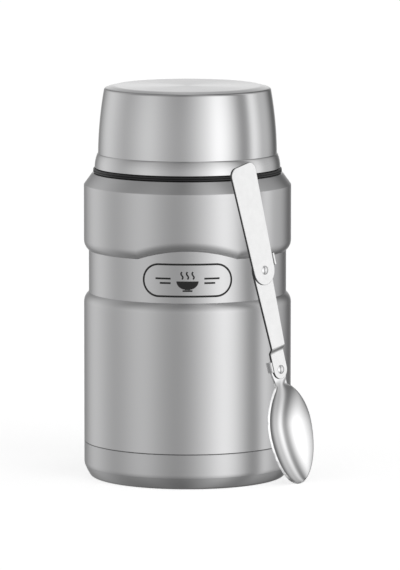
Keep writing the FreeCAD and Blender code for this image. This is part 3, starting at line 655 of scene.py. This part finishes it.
HOLE = 1.25
EDGE = 0.22
SIDE_LIMIT = 0.45


def circle(x, y, radius, steps=24):
    """A closed round outline."""
    return [
        (x + radius * math.cos(2 * math.pi * i / steps), y + radius * math.sin(2 * math.pi * i / steps))
        for i in range(steps)
    ]


def sheet_metal(outlines, back, front, edge=EDGE):
    """A bmesh of a flat plate with rounded edges; the first outline is its rim."""
    curve = bpy.data.curves.new("outline", "CURVE")
    curve.dimensions = "2D"
    curve.fill_mode = "BOTH"
    curve.extrude = (front - back) / 2 - edge
    curve.bevel_depth = edge
    curve.bevel_resolution = 2
    curve.offset = -edge
    for outline in outlines:
        spline = curve.splines.new("POLY")
        spline.points.add(len(outline) - 1)
        for point, (x, y) in zip(spline.points, outline):
            point.co = (x, y, 0, 1)
        spline.use_cyclic_u = True
    maker = bpy.data.objects.new("outline", curve)
    bpy.context.scene.collection.objects.link(maker)
    mesh = bpy.data.meshes.new_from_object(maker.evaluated_get(bpy.context.evaluated_depsgraph_get()))
    bpy.data.objects.remove(maker)
    bm = bmesh.new()
    bm.from_mesh(mesh)
    bmesh.ops.translate(bm, verts=bm.verts, vec=(0, 0, (front + back) / 2))
    return bm


def join(bm, other):
    """Add another bmesh's faces to this one."""
    mesh = bpy.data.meshes.new("part")
    other.to_mesh(mesh)
    other.free()
    bm.from_mesh(mesh)
    bpy.data.meshes.remove(mesh)


def place_on_spoon(bm):
    """Take a bmesh from the spoon's own axes to where it leans."""
    bmesh.ops.transform(bm, matrix=SPOON, verts=bm.verts)


def finish_strip(piece):
    """Shade a strip's broad faces flat and give its sides a nearly black steel: painted shade along its edges."""
    piece.data.materials.append(materials["strip_side_painted_shade"])
    for polygon in piece.data.polygons:
        facing = abs(polygon.normal.dot(FACE))
        if facing > 0.9999:
            polygon.use_smooth = False
        # the sides get the nearly black steel: painted shade
        if facing < SIDE_LIMIT:
            polygon.material_index = 1


def half_round(x, y, radius, first, steps=16):
    """Half a circle's points, anticlockwise from an angle in degrees."""
    return [
        (
            x + radius * math.cos(math.radians(first + 180 * i / steps)),
            y + radius * math.sin(math.radians(first + 180 * i / steps)),
        )
        for i in range(steps + 1)
    ]


def make_handle():
    """The handle: a tapered strip, round at its pivot, with a squarer end."""
    top = MID_LENGTH + HANDLE_LENGTH
    side_end = (HANDLE_UPPER, top - HANDLE_CORNER)
    end = arc(side_end, (HANDLE_UPPER - HANDLE_CORNER, top), HANDLE_CORNER, 1)
    outline = half_round(0, MID_LENGTH, HANDLE_LOWER, 180)
    outline += end + [(-x, y) for x, y in reversed(end)]
    bm = sheet_metal([outline, circle(0, MID_LENGTH, HOLE)], HANDLE_BACK, HANDLE_FRONT, 0.3)
    place_on_spoon(bm)
    piece = finish_mesh("handle", bm, "spoon_grip", "spoon_steel", "spoon_handle", look="spoon_satin")
    finish_strip(piece)
    piece.visible_glossy = False


def make_mid_link():
    """The middle link: a strip stepped forwards near its lower pivot, with a bent stop."""
    taper = (HANDLE_UPPER - HANDLE_LOWER) * TAB_LENGTH / HANDLE_LENGTH
    tab_inner = HANDLE_LOWER + taper + TAB_GAP
    tab_outer = tab_inner + TAB_WIDTH
    tab_low = MID_LENGTH + TAB_GAP
    tab_high = tab_low + TAB_LENGTH
    outline = half_round(0, 0, MID_LOWER, 180)
    outline += [(MID_LOWER, JOGGLE_START + JOGGLE_RUN), (MID_UPPER, MID_LENGTH)]
    outline += [(tab_outer, tab_low), (tab_outer, tab_high), (MID_UPPER - 1, tab_high - 0.4)]
    outline += half_round(0, MID_LENGTH, MID_UPPER, 0)[5:]
    outline += [(-MID_LOWER, JOGGLE_START + JOGGLE_RUN)]
    holes = [circle(0, 0, HOLE), circle(0, MID_LENGTH, HOLE - 0.05)]
    bm = sheet_metal([outline] + holes, MID_BACK, MID_FRONT)
    for step in range(9):
        cut = JOGGLE_START + JOGGLE_RUN * step / 8
        geometry = bm.verts[:] + bm.edges[:] + bm.faces[:]
        bmesh.ops.bisect_plane(bm, geom=geometry, plane_co=(0, cut, 0), plane_no=(0, 1, 0))
    for vert in bm.verts:
        share = min(max((vert.co.y - JOGGLE_START) / JOGGLE_RUN, 0), 1)
        vert.co.z += JOGGLE * share * share * (3 - 2 * share)
    tab = [(tab_inner, tab_low), (tab_outer, tab_low), (tab_outer, tab_high), (tab_inner, tab_high)]
    join(bm, sheet_metal([tab], UPPER_BACK, HANDLE_FRONT))
    place_on_spoon(bm)
    piece = finish_mesh(
        "middle_link", bm, "spoon_link", "spoon_steel", "spoon_mid_link", look="spoon_satin")
    finish_strip(piece)
    piece.visible_glossy = False


def bowl_half_width(y):
    """Half the width of the spoon's bowl at a height, narrowing towards its neck."""
    if y > BOWL_CENTRE:
        share = (y - BOWL_CENTRE) / BOWL_THROAT
        return BOWL_HALF * max(1 - share * share, 0) ** THROAT_TAPER
    share = (y - BOWL_CENTRE) / BOWL_TIP
    return BOWL_HALF * math.sqrt(max(1 - share * share, 0))


def head_half_width(y):
    """Half the width of the spoon's head at a height, with a soft root to its neck."""
    if y > 0:
        return math.sqrt(max(TANG**2 - y * y, 0))
    bowl = bowl_half_width(y)
    if y < BOWL_CENTRE:
        return bowl
    flare = min(-y / NECK_LENGTH, 1)
    flare = flare * flare * (3 - 2 * flare)
    neck = TANG + (NECK_HALF - TANG) * flare
    gap = min(abs(bowl - neck) / NECK_BLEND, 1)
    return max(bowl, neck) + NECK_BLEND * (1 - gap) ** 3 / 6 * flare


BOWL_CENTRE = -(NECK_LENGTH + BOWL_THROAT)


def head_depth(x, y):
    """How far the spoon's hollow lies under its rim, running out softly at its neck."""
    reach = BOWL_THROAT + NECK_LENGTH / 2 if y > BOWL_CENTRE else BOWL_TIP
    along = 1 - ((y - BOWL_CENTRE) / reach) ** 2
    half = head_half_width(y)
    if along <= 0 or half <= 0:
        return 0
    across = 1 - min((x / half) ** 2, 1)
    steep = along**1.6 if y > BOWL_CENTRE else along**0.88
    return BOWL_DEPTH * steep * across**0.88


def make_head():
    """The spoon's bowl with its neck and tang, pressed from one sheet, and a bent stop."""
    rows = 150
    columns = 48
    low = BOWL_CENTRE - BOWL_TIP
    bm = bmesh.new()
    grid = []
    for row in range(rows + 1):
        share = row / rows
        y = low + (TANG - low) * (1 - math.cos(math.pi * share)) / 2
        half = head_half_width(y)
        line = []
        for column in range(columns + 1):
            x = half * math.sin(math.pi / 2 * (2 * column / columns - 1))
            line.append(bm.verts.new((x, y, -head_depth(x, y))))
        grid.append(line)
    for lower, upper in zip(grid, grid[1:]):
        for column in range(columns):
            bm.faces.new((lower[column], lower[column + 1], upper[column + 1], upper[column]))
    bmesh.ops.remove_doubles(bm, verts=bm.verts, dist=1e-4)
    bmesh.ops.dissolve_degenerate(bm, edges=bm.edges, dist=1e-4)
    bmesh.ops.recalc_face_normals(bm, faces=bm.faces)
    if sum(face.normal.z for face in bm.faces) < 0:
        bmesh.ops.reverse_faces(bm, faces=bm.faces)
    mesh = bpy.data.meshes.new("head")
    bm.to_mesh(mesh)
    bm.free()
    maker = bpy.data.objects.new("head", mesh)
    bpy.context.scene.collection.objects.link(maker)
    thicken = maker.modifiers.new("wall", "SOLIDIFY")
    thicken.thickness = SPOON_WALL
    thicken.offset = -1
    thicken.use_even_offset = True
    soften = maker.modifiers.new("edge", "BEVEL")
    soften.width = 0.35
    soften.segments = 3
    soften.limit_method = "ANGLE"
    soften.angle_limit = math.radians(50)
    made = bpy.data.meshes.new_from_object(maker.evaluated_get(bpy.context.evaluated_depsgraph_get()))
    bpy.data.objects.remove(maker)
    bm = bmesh.new()
    bm.from_mesh(made)
    tab_inner = MID_LOWER + TAB_GAP
    tab_outer = tab_inner + TAB_WIDTH
    tab_outline = [(-tab_outer, 0), (-tab_inner, 0), (-tab_inner, TANG), (-tab_outer, TANG)]
    join(bm, sheet_metal([tab_outline], -SHEET, MID_FRONT))
    ear_outline = [(-tab_outer, 0), (-1, 0), (-1, TANG), (-tab_outer, TANG)]
    join(bm, sheet_metal([ear_outline], -SPOON_WALL, 0))
    place_on_spoon(bm)
    piece = finish_mesh(
        "spoon_head_pressed", bm, "spoon_bowl", "spoon_steel", "spoon_head", math.radians(50))
    piece.visible_glossy = False


def make_rivet(name, along, back, front, body, node):
    """A rivet with a low domed head on each side."""
    shaft = 1.2
    head = 2.2
    height = 0.7
    dome = 2.9
    outline = [(0, back - height)]
    outline += arc((0.3, back - height), (head, back - 0.15), dome, 1, 8)
    outline += [(head, back), (shaft, back), (shaft, front), (head, front)]
    outline += arc((head, front + 0.15), (0.3, front + height), dome, 1, 8)
    outline += [(0, front + height)]
    angles = [2 * math.pi * step / 40 for step in range(40)]
    bm = turned(outline, angles)
    bmesh.ops.translate(bm, verts=bm.verts, vec=(0, along, 0))
    place_on_spoon(bm)
    piece = finish_mesh(name, bm, body, "rivet_steel", node, math.radians(40))
    piece.visible_glossy = False


make_handle()
make_mid_link()
make_head()
make_rivet("lower_pivot", 0, -SHEET, MID_FRONT + GAP / 2, "spoon_bowl", "lower_rivet")
make_rivet("upper_pivot", MID_LENGTH, UPPER_BACK, HANDLE_FRONT + GAP / 2, "spoon_link", "upper_rivet")


# stage, light and camera

FLOOR_GLOW = 0.62
FLOOR_DROP = 0.00002
STUDIO_STRENGTH = 2.0

# the studio's brightness round the jar, at angles from the camera's side
STRIPS = [
    (-180, 1.05),
    (-168, 0.24),
    (-152, 0.33),
    (-127, 1.05),
    (-98, 0.57),
    (-78, 0.60),
    (-54, 0.98),
    (-34, 0.70),
    (-13, 0.47),
    (2, 0.65),
    (15, 0.92),
    (28, 1.25),
    (41, 1.66),
    (54, 1.35),
    (66, 0.80),
    (76, 0.36),
    (86, 0.48),
    (94, 1.25),
    (103, 1.05),
    (113, 0.62),
    (128, 0.72),
    (146, 0.12),
    (164, 0.14),
    (180, 1.05),
]
# and its brightness by the height of a direction, from straight down to straight up
HEIGHTS = [
    (-1.0, 0.28),
    (-0.7, 0.34),
    (-0.35, 0.80),
    (-0.1, 1.0),
    (0.1, 1.0),
    (0.35, 0.84),
    (0.7, 0.50),
    (1.0, 0.40),
]


def make_stage():
    """A wide pale floor, seen only from above."""
    bm = bmesh.new()
    bmesh.ops.create_circle(bm, cap_ends=True, radius=40.0, segments=96)
    mesh = bpy.data.meshes.new("floor")
    bm.to_mesh(mesh)
    bm.free()
    floor = bpy.data.objects.new("floor", mesh)
    floor.location.z = -FLOOR_DROP
    bpy.context.scene.collection.objects.link(floor)
    material, nodes, links, shader = new_material("floor", (0.95, 0.95, 0.95), 0.0, 0.9)
    shader.inputs["Specular IOR Level"].default_value = 0.0
    shader.inputs["Emission Color"].default_value = (1, 1, 1, 1)
    shader.inputs["Emission Strength"].default_value = FLOOR_GLOW
    clear = nodes.new("ShaderNodeBsdfTransparent")
    choose = nodes.new("ShaderNodeMixShader")
    path = nodes.new("ShaderNodeLightPath")
    side = nodes.new("ShaderNodeNewGeometry")
    seen = nodes.new("ShaderNodeMath")
    seen.operation = "SUBTRACT"
    seen.use_clamp = True
    links.new(path.outputs["Is Camera Ray"], seen.inputs[0])
    links.new(side.outputs["Backfacing"], seen.inputs[1])
    links.new(seen.outputs["Value"], choose.inputs["Fac"])
    links.new(clear.outputs["BSDF"], choose.inputs[1])
    links.new(shader.outputs["BSDF"], choose.inputs[2])
    links.new(choose.outputs["Shader"], nodes["Material Output"].inputs["Surface"])
    mesh.materials.append(material)


def make_world():
    """A white studio whose walls are lit in soft upright strips."""
    world = bpy.data.worlds.new("studio")
    bpy.context.scene.world = world
    world.use_nodes = True
    nodes = world.node_tree.nodes
    links = world.node_tree.links
    background = nodes["Background"]
    place = nodes.new("ShaderNodeTexCoord")
    split = nodes.new("ShaderNodeSeparateXYZ")
    links.new(place.outputs["Generated"], split.inputs["Vector"])
    back = nodes.new("ShaderNodeMath")
    back.operation = "MULTIPLY"
    back.inputs[1].default_value = -1
    links.new(split.outputs["Y"], back.inputs[0])
    azimuth = nodes.new("ShaderNodeMath")
    azimuth.operation = "ARCTAN2"
    links.new(split.outputs["X"], azimuth.inputs[0])
    links.new(back.outputs["Value"], azimuth.inputs[1])
    share = nodes.new("ShaderNodeMapRange")
    share.inputs["From Min"].default_value = -math.pi
    share.inputs["From Max"].default_value = math.pi
    links.new(azimuth.outputs["Value"], share.inputs["Value"])
    strips = nodes.new("ShaderNodeValToRGB")
    strips.color_ramp.interpolation = "B_SPLINE"
    set_ramp(strips.color_ramp, STRIPS, 180, 360, 1 / STUDIO_STRENGTH)
    links.new(share.outputs["Result"], strips.inputs["Fac"])
    height = nodes.new("ShaderNodeValToRGB")
    height.color_ramp.interpolation = "B_SPLINE"
    set_ramp(height.color_ramp, HEIGHTS, 1, 2)
    tall = nodes.new("ShaderNodeMapRange")
    tall.inputs["From Min"].default_value = -1
    links.new(split.outputs["Z"], tall.inputs["Value"])
    links.new(tall.outputs["Result"], height.inputs["Fac"])
    product = nodes.new("ShaderNodeMix")
    product.data_type = "RGBA"
    product.blend_type = "MULTIPLY"
    product.inputs["Factor"].default_value = 1
    links.new(strips.outputs["Color"], product.inputs["A"])
    links.new(height.outputs["Color"], product.inputs["B"])
    path = nodes.new("ShaderNodeLightPath")
    seen = nodes.new("ShaderNodeMix")
    seen.data_type = "RGBA"
    seen.inputs["B"].default_value = (1, 1, 1, 1)
    links.new(path.outputs["Is Camera Ray"], seen.inputs["Factor"])
    links.new(product.outputs["Result"], seen.inputs["A"])
    links.new(seen.outputs["Result"], background.inputs["Color"])
    background.inputs["Strength"].default_value = STUDIO_STRENGTH


def set_ramp(ramp, stops, centre, span, scale=1.0):
    """Grey stops on a ramp whose middle is 0 and whose whole width is the span."""
    while len(ramp.elements) > 1:
        ramp.elements.remove(ramp.elements[-1])
    for index, (place, value) in enumerate(stops):
        position = (place + centre) / span
        element = ramp.elements[0] if index == 0 else ramp.elements.new(position)
        element.position = position
        grey = value * scale
        element.color = (grey, grey, grey, 1)


def make_camera():
    """The photograph's viewpoint."""
    data = bpy.data.cameras.new("camera")
    data.sensor_fit = "VERTICAL"
    data.sensor_height = SENSOR
    data.lens = FOCAL_PIXELS / PHOTO_HEIGHT * SENSOR
    data.shift_x = AXIS_LEFT_PIXELS / PHOTO_HEIGHT
    data.shift_y = -AIM_UP_PIXELS / PHOTO_HEIGHT
    data.clip_end = 200
    camera = bpy.data.objects.new("camera", data)
    bpy.context.scene.collection.objects.link(camera)
    away = Vector((0, -math.cos(CAMERA_ELEVATION), math.sin(CAMERA_ELEVATION)))
    aim = Vector((0, 0, AIM_HEIGHT))
    camera.location = aim + away * CAMERA_DISTANCE
    camera.rotation_euler = (-away).to_track_quat("-Z", "Y").to_euler()
    bpy.context.scene.camera = camera


make_stage()
make_world()
make_camera()
bpy.context.scene.view_settings.view_transform = "Standard"
